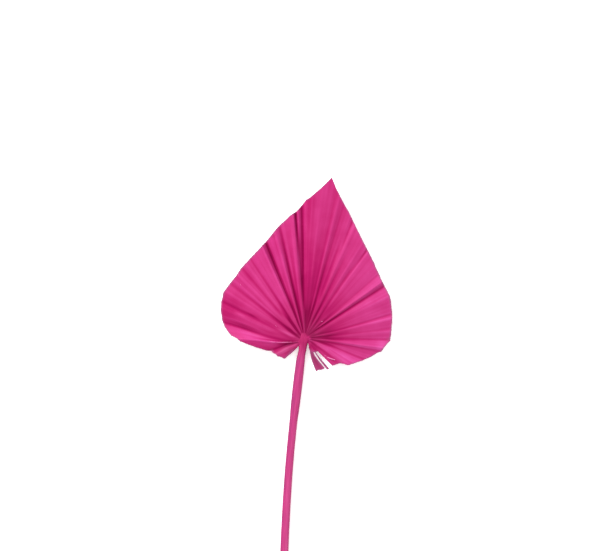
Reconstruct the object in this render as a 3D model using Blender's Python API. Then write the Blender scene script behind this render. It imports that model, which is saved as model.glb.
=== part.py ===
"""A dried fan palm leaf, trimmed to a spear shape and dyed, lying face up on a flat surface.

One leaf that grew in one piece: a pleated blade, a knuckle where its folds meet, and a long stalk.
The dye covers the blade and most of the stalk, and leaves the stalk's cut end bare.
Metres, +Z up. Angles are in degrees, clockwise from +Y as seen from above, about the knuckle.
"""

import bisect
import math

import bmesh
import bpy
from mathutils import Matrix, Vector

# Driving dimensions.
TIP_REACH = 0.1292  # from the knuckle to the blade's tip
STALK_LENGTH = 0.300  # from the knuckle to the cut end
DYED_LENGTH = 0.188  # how far down the stalk the dye goes
SHEET = 0.0008  # the blade's thickness, measured square to its steepest panels
FLATTEST_COSINE = 0.45  # panels steeper than this are no thicker for it
COLOUR_GAP = 0.0003  # between the dyed stalk and the bare one

# The origin is at the middle of the leaf's outline, on the surface it lies on.
KNUCKLE = Vector((-0.00066, 0.08559))

# The knuckle: a flattened bulge whose underside has a small flat to rest on.
KNUCKLE_HALF = Vector((0.0044, 0.0042, 0.0046))
KNUCKLE_CENTRE = Vector((0.0003, -0.0022, 0.0040))
KNUCKLE_SIDES = 20
KNUCKLE_RINGS = 12
KNUCKLE_RISE = 0.0007  # how far the folds climb onto the knuckle
RISE_REACH = 0.006

# The collar: a flatter bulge across the knuckle, from which the side lobes spring.
COLLAR_HALF = Vector((0.0055, 0.0038, 0.0021))
COLLAR_CENTRE = Vector((0.0006, -0.0024, 0.0062))

# Where the folds start, by angle: close together at the front, and down the stalk's sides for the lobes.
ROOT_HEIGHT = 0.0074
ROOTS = [
    (-144.8, Vector((-0.0020, -0.0066))), (-121.0, Vector((-0.0026, -0.0054))),
    (-97.3, Vector((-0.0030, -0.0041))), (-86.0, Vector((-0.0028, -0.0034))),
    (-65.0, Vector((-0.0024, -0.0024))), (-45.0, Vector((-0.0014, -0.0010))),
    (-27.0, Vector((0.0002, -0.0002))), (-17.0, Vector((0.0006, 0.0))),
    (-5.0, Vector((0.0009, 0.0))), (13.0, Vector((0.0011, 0.0))), (27.0, Vector((0.0014, -0.0002))),
    (53.6, Vector((0.0018, -0.0006))), (75.0, Vector((0.0026, -0.0009))),
    (90.0, Vector((0.0032, -0.0011))), (104.0, Vector((0.0036, -0.0016))),
    (118.0, Vector((0.0039, -0.0022))), (130.7, Vector((0.0043, -0.0029))),
    (141.0, Vector((0.0044, -0.0037))), (150.0, Vector((0.0044, -0.0043))),
    (154.8, Vector((0.0044, -0.0047))),
]

# The trimmed rim: angle, and distance from the knuckle. Scissor cuts run straight between these.
# Past 131 degrees it is the torn edge that the torn segments hang from.
RIM = [
    (-144.8, 0.0233), (-141.0, 0.0240), (-138.0, 0.0243), (-132.0, 0.0260), (-126.0, 0.0268),
    (-122.0, 0.0280), (-119.5, 0.0279), (-118.0, 0.0292), (-116.0, 0.0312), (-113.0, 0.0334),
    (-107.0, 0.0397), (-101.0, 0.0476), (-99.0, 0.0507), (-96.0, 0.0538), (-94.0, 0.0582),
    (-91.0, 0.0607), (-88.0, 0.0635), (-83.6, 0.0664), (-78.2, 0.0690), (-72.0, 0.0716),
    (-65.2, 0.0732), (-59.0, 0.0727), (-52.6, 0.0727), (-47.1, 0.0740), (-39.2, 0.0757),
    (-32.5, 0.0781), (-27.7, 0.0807), (-23.3, 0.0841), (-19.7, 0.0878), (-16.6, 0.0911),
    (-11.1, 0.0971), (-7.9, 0.1004), (-5.1, 0.1058), (-3.6, 0.1094), (-2.2, 0.1108),
    (0.0, 0.1152), (3.0, 0.1221), (5.4, TIP_REACH), (6.7, 0.1249), (8.1, 0.1203),
    (11.3, 0.1128), (15.7, 0.1053), (20.1, 0.0983), (24.6, 0.0927), (30.3, 0.0872),
    (36.0, 0.0833), (42.3, 0.0797), (49.3, 0.0772), (57.7, 0.0763), (60.3, 0.0763),
    (66.0, 0.0747), (72.0, 0.0731), (78.0, 0.0715), (84.0, 0.0701), (87.0, 0.0696),
    (88.2, 0.0699), (90.0, 0.0677), (93.0, 0.0652), (96.2, 0.0636), (98.0, 0.0604),
    (102.0, 0.0565), (107.0, 0.0517), (111.0, 0.0477), (115.0, 0.0445), (118.3, 0.0420),
    (120.2, 0.0376), (122.0, 0.0362), (130.7, 0.0328), (131.3, 0.0165),
    (136.0, 0.0163), (141.0, 0.0152), (147.0, 0.0145), (154.8, 0.0125),
]
# The torn segments: a narrow strip, and the blade's last segment. They start inside the blade's own sheet.
STRIP_RIM = [(136.6, 0.0322), (139.8, 0.0316)]
TAIL_RIM = [(140.6, 0.0304), (146.0, 0.0300), (151.0, 0.0285), (154.8, 0.0292)]
TORN_START = 0.009  # how far from their roots
TORN_DROP = 0.0003  # how far below the blade's face they lie inside it

# The creases: angle at the rim, and height in mm over the blade's mean surface, as if at FOLD_REACH,
# near the rim and at 0.7, 0.4 and 0.15 of the way out.
FOLD_REACH = 0.060
CREASES = [
    (-144.8, -1.5, -1.5, -1.2, -1.0), (-129.5, 1.4, 1.4, 1.7, 1.4), (-118.0, -2.2, -2.2, -2.6, -2.4),
    (-111.0, -0.5, -0.5, -1.3, -1.2), (-96.8, 2.8, 3.0, 3.2, 3.0), (-84.8, -1.6, -2.6, -1.4, -1.0),
    (-80.5, -0.6, 0.1, -0.6, -0.4), (-75.6, 0.6, 0.8, 0.4, 0.7), (-71.3, -1.1, -1.0, -0.3, 0.0),
    (-68.6, -0.2, -0.1, 0.0, 0.2), (-64.5, 0.4, 0.4, 0.4, 0.6), (-58.6, -0.3, -0.5, -0.8, -1.4),
    (-55.9, 0.2, 0.2, 0.1, -0.6), (-51.5, 0.6, 0.6, 0.8, 0.8), (-46.6, -0.7, -0.7, -1.0, 0.2),
    (-43.0, 0.0, 0.0, -0.6, -1.4), (-39.0, -0.7, -0.8, -1.6, -1.2), (-35.5, 0.3, 0.3, 0.2, 0.4),
    (-29.1, 1.2, 1.2, 1.5, 1.4), (-26.6, -2.0, -2.4, -2.4, -1.8), (-23.4, -1.0, -1.4, -1.2, -0.8),
    (-19.9, 0.4, 0.6, 0.8, 1.2), (-16.9, -0.8, -2.0, -2.7, -2.4), (-13.5, -0.1, -0.9, -1.3, -0.9),
    (-10.7, 0.7, 0.8, 0.9, 1.2), (-9.4, 0.6, 0.5, 0.3, 0.8), (-8.3, -1.2, -1.0, -0.4, 0.3),
    (-7.1, 0.0, -0.4, -1.0, -0.8), (-5.2, -1.7, -2.0, -2.2, -1.8), (-3.7, 0.0, -0.3, -1.7, -2.2),
    (-1.0, 0.5, 0.2, -0.9, -2.0), (2.5, 0.2, 0.2, -0.5, -1.4), (8.0, -0.3, -0.4, -1.2, -2.2),
    (9.8, 0.0, 0.0, -0.6, -1.4), (12.3, -0.5, -0.8, -1.8, -2.6), (16.5, -0.8, -0.8, -1.0, -0.4),
    (20.0, 0.5, 0.6, 0.7, 0.9), (22.7, 0.0, -0.3, -0.7, -1.2), (27.5, 0.4, 0.4, 0.3, 0.6),
    (30.6, -0.2, -0.3, -0.4, -0.6), (32.8, 0.4, 0.4, 0.3, 0.4), (40.3, 0.0, 0.0, -0.1, 0.4),
    (45.8, -0.4, -0.4, -0.4, -0.8), (50.6, 0.8, 0.9, 0.6, 0.7), (53.4, -1.6, -1.7, -1.9, -2.0),
    (57.0, 0.0, 0.1, 0.1, 0.4), (60.0, 0.4, 0.4, 0.3, 0.6), (69.8, -0.4, -0.3, -0.4, -0.8),
    (71.3, -0.9, -0.7, -0.4, -0.6), (73.8, 0.2, 0.2, 0.1, 0.6), (79.8, -0.6, -0.4, -0.8, -1.2),
    (82.0, -0.3, -0.3, -0.7, -1.3), (87.3, -1.3, -1.2, -1.3, -1.0), (93.6, 0.9, 0.9, 0.6, 0.8),
    (97.0, -1.1, -1.1, -0.9, -1.0), (106.5, -1.7, -1.7, -2.2, -2.0), (117.0, 2.2, 2.2, 1.9, 1.2),
    (124.0, 0.8, 0.9, 0.8, -0.6), (130.7, 0.2, 0.4, 0.4, 0.4),
    (136.3, -0.4, -0.4, -0.4, -0.4), (138.2, 0.7, 0.7, 0.7, 0.7), (140.4, -0.2, -0.2, -0.2, -0.2),
    (146.0, 1.4, 1.4, 1.4, 1.4), (154.8, -0.6, -0.6, -0.6, -0.6),
]

# The blade's mean surface sinks towards both sides and lifts a little towards the tip.
SIDE_REACH = 0.060
LEFT_SINK = 0.0036
RIGHT_SINK = 0.0028
TIP_LIFT = 0.0035
BOWS = [  # how far the creases bow towards the cut end, by angle
    (-144.8, 0.0010), (-131.0, 0.0), (-118.0, -0.0011), (-108.0, 0.0), (-97.3, 0.0009),
    (-86.0, 0.0031), (-76.0, 0.0012), (-65.0, 0.0), (60.0, 0.0), (71.0, 0.0007), (80.0, 0.0004),
    (90.0, 0.0), (97.2, -0.0005), (107.0, -0.0014), (118.0, -0.0016), (130.7, 0.0),
]
LEANS = [  # how far the torn segments bow towards the stalk, by angle
    (131.3, 0.0), (136.6, 0.0010), (139.8, 0.0010), (140.6, 0.0020), (147.0, 0.0012), (154.8, 0.0),
]
HANG = 0.0036  # how far the torn segments' ends hang below the blade
HANG_START = 0.012
HANG_END = 0.030
TORN_RUN = 0.030  # how long those segments are

# How finely the blade is divided.
STATION_STEP = 3.2
RINGS = 11

# The stalk: a flattened rod that bows sideways and lies down on its cut end.
STALK_WIDTH = 0.0060
STALK_HEIGHT = 0.0048
STALK_SIDES = 12
STALK_TOP_HEIGHT = 0.0057
STALK_SLANT = -0.0467
STALK_BOW = 0.2644
STALK_SWELL = [(-0.0042, 0.45), (-0.0034, 0.78), (-0.0014, 1.0), (0.012, 1.12), (0.040, 1.14), (0.066, 1.0),
               (0.188, 1.0), (0.260, 1.06), (0.300, 1.10)]
STALK_STEP = 0.018

DYE_PINK = (0.672, 0.031, 0.231, 1.0)
BARE_STRAW = (0.584, 0.386, 0.235, 1.0)


def clear_scene():
    for old in list(bpy.data.objects):
        bpy.data.objects.remove(old)


def new_collection(name):
    made = bpy.data.collections.new(name)
    bpy.context.scene.collection.children.link(made)
    return made


def matt(name, colour, roughness):
    made = bpy.data.materials.new(name)
    made.use_nodes = True
    shader = made.node_tree.nodes["Principled BSDF"]
    shader.inputs["Base Color"].default_value = colour
    shader.inputs["Roughness"].default_value = roughness
    shader.inputs["Metallic"].default_value = 0.0
    return made


def between(table, at, column=1):
    """The value at this place in a table whose rows start with a place, straight between its rows."""
    after = min(max(bisect.bisect_right([row[0] for row in table], at), 1), len(table) - 1)
    low, high = table[after - 1], table[after]
    share = min(max((at - low[0]) / (high[0] - low[0]), 0.0), 1.0)
    return low[column] + share * (high[column] - low[column])


def smooth(share):
    share = min(max(share, 0.0), 1.0)
    return share * share * (3 - 2 * share)


def heading(angle):
    """The level unit vector that points this many degrees clockwise from +Y."""
    turn = math.radians(angle)
    return Vector((math.sin(turn), math.cos(turn)))


def rim_reach(rim, angle):
    """How far the rim is at this angle, along the straight cut between its two nearest corners."""
    after = min(max(bisect.bisect_right([corner for corner, _ in rim], angle), 1), len(rim) - 1)
    (low, low_reach), (high, high_reach) = rim[after - 1], rim[after]
    to_high = math.sin(math.radians(high - angle)) / low_reach
    to_low = math.sin(math.radians(angle - low)) / high_reach
    return math.sin(math.radians(high - low)) / (to_high + to_low)


def fold_height(angle, share, run):
    """How far the blade is over its mean surface here. The folds grow quickly at first, then slower."""
    columns = ((0.15, 4), (0.4, 3), (0.7, 2), (1.0, 1))
    along = [(out, between(CREASES, angle, column)) for out, column in columns]
    return between(along, share) / 1000 * (run / FOLD_REACH) ** 0.8


def mean_height(place, run, angle):
    """The height of the blade's mean surface at a level place about the knuckle."""
    sink = LEFT_SINK if place.x < 0 else RIGHT_SINK
    lift = TIP_LIFT * (max(place.y, 0.0) / TIP_REACH) ** 2
    rise = KNUCKLE_RISE * math.exp(-(run / RISE_REACH) ** 2)
    torn = angle > LEANS[0][0]
    hang = HANG * smooth((place.length - HANG_START) / (HANG_END - HANG_START)) if torn else 0.0
    return ROOT_HEIGHT - sink * (place.x / SIDE_REACH) ** 2 + lift + rise - hang


def fan_point(rim, angle, share, start):
    """A point of the upper face, at this angle and this share of the way from its start to its rim."""
    root = between(ROOTS, angle)
    end = heading(angle) * rim_reach(rim, angle)
    whole = (end - root).length
    share = start / whole + share * (1 - start / whole)
    bow = between(BOWS, angle) * 6.75 * share * (1 - share) ** 2
    run = whole * share
    along = min(run / TORN_RUN, 1.0)
    lean = between(LEANS, angle) * 16 * along ** 2 * (1 - along) ** 2
    level = root.lerp(end, share) - Vector((lean, bow))
    return Vector((level.x, level.y, mean_height(level, run, angle) + fold_height(angle, share, run)))


def stations(rim):
    """The angles that a sheet is divided at: every crease and corner, and no gap wider than STATION_STEP."""
    first, last = rim[0][0], rim[-1][0]
    corners = sorted({row[0] for row in rim} | {row[0] for row in CREASES if first < row[0] < last})
    kept = [corners[0]]
    for angle in corners[1:]:
        if angle - kept[-1] < 0.4 and angle != corners[-1]:
            continue
        pieces = max(1, math.ceil((angle - kept[-1]) / STATION_STEP))
        start = kept[-1]
        kept += [start + (angle - start) * (n + 1) / pieces for n in range(pieces)]
    return kept


def fan(name, rim, start=0.0, drop=0.0):
    """A pleated sheet: a grid laid out as a fan, split into triangles, and thickened downwards."""
    angles = stations(rim)
    across, along = len(angles) - 1, RINGS
    sheet = bmesh.new()
    bmesh.ops.create_grid(sheet, x_segments=across, y_segments=along, size=1.0)
    for corner in sheet.verts:
        angle = angles[round((corner.co.x + 1) / 2 * across)]
        share = round((corner.co.y + 1) / 2 * along) / along
        corner.co = fan_point(rim, angle, share, start) - Vector((0, 0, drop))
    bmesh.ops.triangulate(sheet, faces=sheet.faces[:], quad_method="FIXED")
    sheet.normal_update()
    depth = sheet.verts.layers.float.new("depth")
    for corner in sheet.verts:
        steepest = min(abs(face.normal.z) for face in corner.link_faces)
        corner[depth] = SHEET / max(steepest, FLATTEST_COSINE)
    lower = bmesh.ops.extrude_face_region(sheet, geom=sheet.faces[:])["geom"]
    for part in lower:
        if isinstance(part, bmesh.types.BMVert):
            part.co.z -= part[depth]
    bmesh.ops.recalc_face_normals(sheet, faces=sheet.faces[:])
    return finished(name, sheet)


def finished(name, shape):
    """A new object that holds this mesh, with the knuckle at its place in the leaf."""
    mesh = bpy.data.meshes.new(name)
    bmesh.ops.translate(shape, verts=shape.verts[:], vec=KNUCKLE.to_3d())
    shape.to_mesh(mesh)
    shape.free()
    return bpy.data.objects.new(name, mesh)


def bulge(name, half, centre):
    """A flattened ball, cut level where it rests."""
    shape = bmesh.new()
    bmesh.ops.create_uvsphere(
        shape, u_segments=KNUCKLE_SIDES, v_segments=KNUCKLE_RINGS, radius=1.0,
        matrix=Matrix.Translation(centre) @ Matrix.Diagonal(half.to_4d()),
    )
    cut = bmesh.ops.bisect_plane(
        shape, geom=shape.verts[:] + shape.edges[:] + shape.faces[:],
        plane_co=(0, 0, 0), plane_no=(0, 0, -1), clear_outer=True,
    )["geom_cut"]
    rim = [part for part in cut if isinstance(part, bmesh.types.BMEdge)]
    if rim:
        bmesh.ops.contextual_create(shape, geom=rim)
    bmesh.ops.recalc_face_normals(shape, faces=shape.faces[:])
    return finished(name, shape)


def stalk_place(down):
    """The stalk's middle this far below the knuckle: bowed sideways, and sinking to the surface."""
    side = STALK_SLANT * down + STALK_BOW * down * down
    end_height = STALK_HEIGHT / 2 * between(STALK_SWELL, STALK_LENGTH) * math.cos(math.pi / STALK_SIDES)
    height = STALK_TOP_HEIGHT + (end_height - STALK_TOP_HEIGHT) * smooth(down / STALK_LENGTH) ** 0.8
    return Vector((side, -down, height)) + KNUCKLE.to_3d()


def stalk_section(guides):
    """The stalk's cross-section: a flattened ring with a level facet underneath."""
    outline = bpy.data.curves.new("stalk_section", "CURVE")
    outline.dimensions = "2D"
    ring = outline.splines.new("POLY")
    ring.points.add(STALK_SIDES - 1)
    for n, point in enumerate(ring.points):
        turn = 2 * math.pi * (n + 0.5) / STALK_SIDES
        point.co = (STALK_WIDTH / 2 * math.sin(turn), STALK_HEIGHT / 2 * math.cos(turn), 0, 1)
    ring.use_cyclic_u = True
    section = bpy.data.objects.new("stalk_section", outline)
    section.hide_render = True
    section.display_type = "WIRE"
    guides.objects.link(section)
    return section


def stalk(name, section, start, end):
    """A stretch of the stalk between these distances below the knuckle."""
    places = [down for down, _ in STALK_SWELL if start < down < end]
    places += [start + (end - start) * n / round((end - start) / STALK_STEP)
               for n in range(round((end - start) / STALK_STEP) + 1)]
    places = sorted(places)
    places = [place for n, place in enumerate(places) if n == 0 or place - places[n - 1] > 0.0005]
    line = bpy.data.curves.new(name, "CURVE")
    line.dimensions = "3D"
    line.twist_mode = "Z_UP"
    line.bevel_mode = "OBJECT"
    line.bevel_object = section
    line.use_fill_caps = True
    spline = line.splines.new("POLY")
    spline.points.add(len(places) - 1)
    for point, down in zip(spline.points, places):
        point.co = stalk_place(down).to_4d()
        point.radius = between(STALK_SWELL, down)
    return bpy.data.objects.new(name, line)


def as_mesh(made, collection):
    """The curve's own shape as a closed mesh object. The curve is removed."""
    collection.objects.link(made)
    graph = bpy.context.evaluated_depsgraph_get()
    mesh = bpy.data.meshes.new_from_object(made.evaluated_get(graph))
    shape = bmesh.new()
    shape.from_mesh(mesh)
    bmesh.ops.remove_doubles(shape, verts=shape.verts[:], dist=0.00001)
    bmesh.ops.recalc_face_normals(shape, faces=shape.faces[:])
    shape.to_mesh(mesh)
    shape.free()
    solid = bpy.data.objects.new(made.name + "_solid", mesh)
    solid.matrix_world = made.matrix_world
    bpy.data.objects.remove(made)
    return solid


def joined(name, body, pieces, collection):
    """The body with the pieces fused into it as one solid."""
    collection.objects.link(body)
    others = new_collection("to_join")
    for piece in pieces:
        others.objects.link(piece)
    union = body.modifiers.new("join", "BOOLEAN")
    union.operation = "UNION"
    union.operand_type = "COLLECTION"
    union.collection = others
    union.solver = "EXACT"
    bpy.context.view_layer.update()
    graph = bpy.context.evaluated_depsgraph_get()
    mesh = bpy.data.meshes.new_from_object(body.evaluated_get(graph))
    whole = bpy.data.objects.new(name, mesh)
    collection.objects.link(whole)
    for used in [body, *others.objects]:
        bpy.data.objects.remove(used)
    bpy.data.collections.remove(others)
    return whole


def paint(made, material, crease_angle):
    made.data.materials.clear()
    made.data.materials.append(material)
    if made.type == "MESH":
        made.data.shade_smooth()
        made.data.set_sharp_from_angle(angle=math.radians(crease_angle))


def main():
    clear_scene()
    leaf = new_collection("fan_palm_leaf")
    guides = new_collection("guides")
    pink = matt("dyed_palm", DYE_PINK, 0.6)
    straw = matt("bare_palm", BARE_STRAW, 0.7)

    section = stalk_section(guides)
    blade = fan("blade", RIM)
    strip = fan("strip", STRIP_RIM, TORN_START, TORN_DROP)
    tail = fan("tail", TAIL_RIM, TORN_START, TORN_DROP)
    dyed_stalk = as_mesh(stalk("dyed_stalk", section, STALK_SWELL[0][0], DYED_LENGTH), leaf)
    knuckle = bulge("knuckle", KNUCKLE_HALF, KNUCKLE_CENTRE)
    collar = bulge("collar", COLLAR_HALF, COLLAR_CENTRE)
    dyed = joined("dyed_leaf", knuckle, [collar, blade, strip, tail, dyed_stalk], leaf)
    paint(dyed, pink, 30)

    bare = stalk("bare_stalk_end", section, DYED_LENGTH + COLOUR_GAP, STALK_LENGTH)
    leaf.objects.link(bare)
    paint(bare, straw, 30)


main()
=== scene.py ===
"""A dried fan palm leaf, dyed fuchsia and trimmed to a spear, lying face up.

Metres, +Z up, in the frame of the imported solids. Angles round the knuckle are in degrees,
clockwise from +Y as seen from above.
"""

import math

import bpy
import numpy as np
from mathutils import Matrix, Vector, noise


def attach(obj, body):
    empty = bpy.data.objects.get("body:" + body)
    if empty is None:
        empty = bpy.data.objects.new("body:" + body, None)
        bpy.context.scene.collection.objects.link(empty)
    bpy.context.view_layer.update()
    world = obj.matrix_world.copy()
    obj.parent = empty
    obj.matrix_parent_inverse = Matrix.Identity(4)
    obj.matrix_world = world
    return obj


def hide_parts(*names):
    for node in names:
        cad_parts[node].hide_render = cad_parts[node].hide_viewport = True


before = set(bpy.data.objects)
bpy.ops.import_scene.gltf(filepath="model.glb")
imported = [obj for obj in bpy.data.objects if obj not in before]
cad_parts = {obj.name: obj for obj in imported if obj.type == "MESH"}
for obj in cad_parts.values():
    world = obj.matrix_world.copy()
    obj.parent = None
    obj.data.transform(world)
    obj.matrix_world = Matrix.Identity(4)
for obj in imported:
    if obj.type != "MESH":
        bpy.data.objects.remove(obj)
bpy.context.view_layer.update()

# Floor, light and camera
# A sheet of white card under the leaf, one soft lamp from the upper left, a wide soft lamp
# overhead and white walls all round. The camera looks straight down, turned 4.7 degrees.

CAMERA_TURN = math.radians(4.7)
VIEW_CENTRE = Vector((-0.00745, 0.13399, 0.005))  # what the middle of the picture shows
CAMERA_HEIGHT = 1.6
KEY_ROUND = math.radians(-44.4)  # the key lamp's direction, clockwise from +Y
KEY_UP = math.radians(40)
KEY_AWAY = 1.4
FLOOR_WIDTH = 14
FLOOR_GAP = 0.0001  # it lies this far under what the leaf rests on


def linear(hex_colour):
    """An sRGB hex colour as linear RGBA."""
    parts = [int(hex_colour[n:n + 2], 16) / 255 for n in (0, 2, 4)]
    return (*[p / 12.92 if p <= 0.04045 else ((p + 0.055) / 1.055) ** 2.4 for p in parts], 1.0)


def node(tree, kind, inputs=None, **settings):
    """Adds a node. Each of its inputs is a value, or another node's output."""
    made = tree.nodes.new("ShaderNode" + kind)
    for name, value in settings.items():
        setattr(made, name, value)
    for name, value in (inputs or {}).items():
        if isinstance(value, bpy.types.NodeSocket):
            tree.links.new(value, made.inputs[name])
        else:
            made.inputs[name].default_value = value
    return made


def patches(tree, place, scale, detail):
    """Noise around 0.5, in patches about 1 / scale wide, with finer ones in them."""
    return node(tree, "TexNoise", {"Vector": place, "Scale": scale, "Detail": detail}).outputs["Fac"]


def ramp(tree, value, stops):
    """The colour for this value, between stops that each have a value and an sRGB hex colour."""
    made = node(tree, "ValToRGB", {"Fac": value})
    while len(made.color_ramp.elements) < len(stops):
        made.color_ramp.elements.new(1.0)
    for element, (place, colour) in zip(made.color_ramp.elements, stops):
        element.position = place
        element.color = linear(colour)
    return made.outputs["Color"]


def bump(tree, height, strength, distance):
    """The surface's normal where this height roughens it."""
    inputs = {"Height": height, "Strength": strength, "Distance": distance}
    return node(tree, "Bump", inputs).outputs["Normal"]


def new_material(name):
    """A material, and its node tree with nothing in it yet."""
    made = bpy.data.materials.new(name)
    made.use_nodes = True
    made.node_tree.nodes.clear()
    return made, made.node_tree


def finish_material(tree, inputs):
    """Ends a material with a surface that has these inputs."""
    surface = node(tree, "BsdfPrincipled", inputs)
    node(tree, "OutputMaterial", {"Surface": surface.outputs[0]})


def deselect():
    bpy.ops.object.select_all(action="DESELECT")


# Uncoated white card: no shine, with the faint clouding of pressed pulp.
white_card, tree = new_material("white_card")
place = node(tree, "TexCoord").outputs["Object"]
tint = ramp(tree, patches(tree, place, scale=90.0, detail=4.0), [(0.3, "F6F6F5"), (0.7, "FAFAF9")])
grain = patches(tree, place, scale=1400.0, detail=2.0)
finish_material(tree, {
    "Base Color": tint, "Roughness": 0.9, "Specular IOR Level": 0.2,
    "Emission Color": tint, "Emission Strength": 0.35,
    "Normal": bump(tree, grain, strength=0.05, distance=0.0001)})

deselect()
bpy.ops.mesh.primitive_plane_add(size=FLOOR_WIDTH, location=(0, 0, -FLOOR_GAP))
floor = bpy.context.object
floor.name = "floor"
bpy.ops.object.transform_apply(location=True)
floor.data.materials.append(white_card)

bpy.ops.object.light_add(type="AREA")
key = bpy.context.object
key.name = "key_lamp"
key.data.size = 0.8
key.data.energy = 29
key.data.color = (0.98, 0.98, 1.0)
key_way = Vector((math.sin(KEY_ROUND) * math.cos(KEY_UP), math.cos(KEY_ROUND) * math.cos(KEY_UP),
                  math.sin(KEY_UP)))
key.location = VIEW_CENTRE + key_way * KEY_AWAY
key.rotation_euler = key_way.to_track_quat("Z", "Y").to_euler()

bpy.ops.object.light_add(type="AREA", location=(0, 0.1, 2.4))
over = bpy.context.object
over.name = "overhead_lamp"
over.data.size = 2.4
over.data.energy = 27

world = bpy.data.worlds.new("white_walls")
bpy.context.scene.world = world
world.use_nodes = True
world.node_tree.nodes["Background"].inputs["Color"].default_value = (1.0, 0.99, 0.98, 1.0)
world.node_tree.nodes["Background"].inputs["Strength"].default_value = 0.70

bpy.ops.object.camera_add(location=VIEW_CENTRE + Vector((0, 0, CAMERA_HEIGHT)),
                          rotation=(0, 0, CAMERA_TURN))
camera = bpy.context.object
camera.data.sensor_width = 36
camera.data.lens = 120
camera.data.clip_start = 0.05
camera.data.clip_end = 40
bpy.context.scene.camera = camera
bpy.context.scene.view_settings.view_transform = "Standard"

# The blade
# One pleated fan of leaf tissue about 0.4 mm thick, its ribs meeting at the knuckle. It grew
# pleated, dried stiff, was dipped in dye, and was trimmed along its rim with scissors.

KNUCKLE = Vector((-0.00066, 0.08559, 0.0))
SHEET_THICKNESS = 0.00042
STEEPEST = 0.5  # where the sheet's normal is less upright than this, it counts as this
ROOT_HEIGHT = 0.0074
TIP_REACH = 0.1292

# Where the ribs start: angle, and place across and along from the knuckle.
ROOTS = [
    (-144.8, -0.0021, -0.0058), (-121.0, -0.0026, -0.0052), (-97.3, -0.0030, -0.0041),
    (-86.0, -0.0028, -0.0034), (-65.0, -0.0024, -0.0024), (-45.0, -0.0014, -0.0010),
    (-27.0, 0.0002, -0.0002), (-17.0, 0.0006, 0.0), (-5.0, 0.0009, 0.0), (13.0, 0.0011, 0.0),
    (27.0, 0.0014, -0.0002), (53.6, 0.0018, -0.0006), (75.0, 0.0026, -0.0009), (90.0, 0.0032, -0.0011),
    (104.0, 0.0036, -0.0016), (118.0, 0.0039, -0.0022), (130.7, 0.0043, -0.0029),
    (141.0, 0.0042, -0.0037), (149.1, 0.0040, -0.0046), (154.8, 0.0040, -0.0046),
]
# The trimmed rim: angle, and distance from the knuckle, with straight cuts in between. Past
# 131 degrees it is the torn edge that the end segments hang from.
RIM = [
    (-144.8, 0.0233), (-141.0, 0.0240), (-138.0, 0.0243), (-132.0, 0.0260), (-126.0, 0.0268),
    (-122.0, 0.0280), (-119.5, 0.0279), (-118.0, 0.0292), (-116.0, 0.0312), (-113.0, 0.0334),
    (-107.0, 0.0397), (-101.0, 0.0476), (-99.0, 0.0507), (-96.0, 0.0538), (-94.0, 0.0582),
    (-91.0, 0.0607), (-88.0, 0.0635), (-83.6, 0.0664), (-78.2, 0.0690), (-72.0, 0.0716),
    (-65.2, 0.0732), (-59.0, 0.0727), (-52.6, 0.0727), (-47.1, 0.0740), (-39.2, 0.0757),
    (-32.5, 0.0781), (-27.7, 0.0807), (-23.3, 0.0841), (-19.7, 0.0878), (-16.6, 0.0911),
    (-11.1, 0.0971), (-7.9, 0.1004), (-5.1, 0.1058), (-3.6, 0.1094), (-2.2, 0.1108), (0.0, 0.1152),
    (3.0, 0.1221), (5.4, TIP_REACH), (6.7, 0.1249), (8.1, 0.1203), (11.3, 0.1128), (15.7, 0.1053),
    (20.1, 0.0983), (24.6, 0.0927), (30.3, 0.0872), (36.0, 0.0833), (42.3, 0.0797), (49.3, 0.0772),
    (57.7, 0.0763), (60.3, 0.0763), (66.0, 0.0747), (72.0, 0.0731), (78.0, 0.0715), (84.0, 0.0701),
    (87.0, 0.0696), (88.2, 0.0699), (90.0, 0.0677), (93.0, 0.0652), (96.2, 0.0636), (98.0, 0.0604),
    (102.0, 0.0565), (107.0, 0.0517), (111.0, 0.0477), (115.0, 0.0445), (118.3, 0.0420),
    (120.2, 0.0376), (122.0, 0.0362), (130.7, 0.0328), (131.3, 0.0165), (136.0, 0.0163),
    (141.0, 0.0152), (147.0, 0.0135), (149.1, 0.0107),
]
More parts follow.
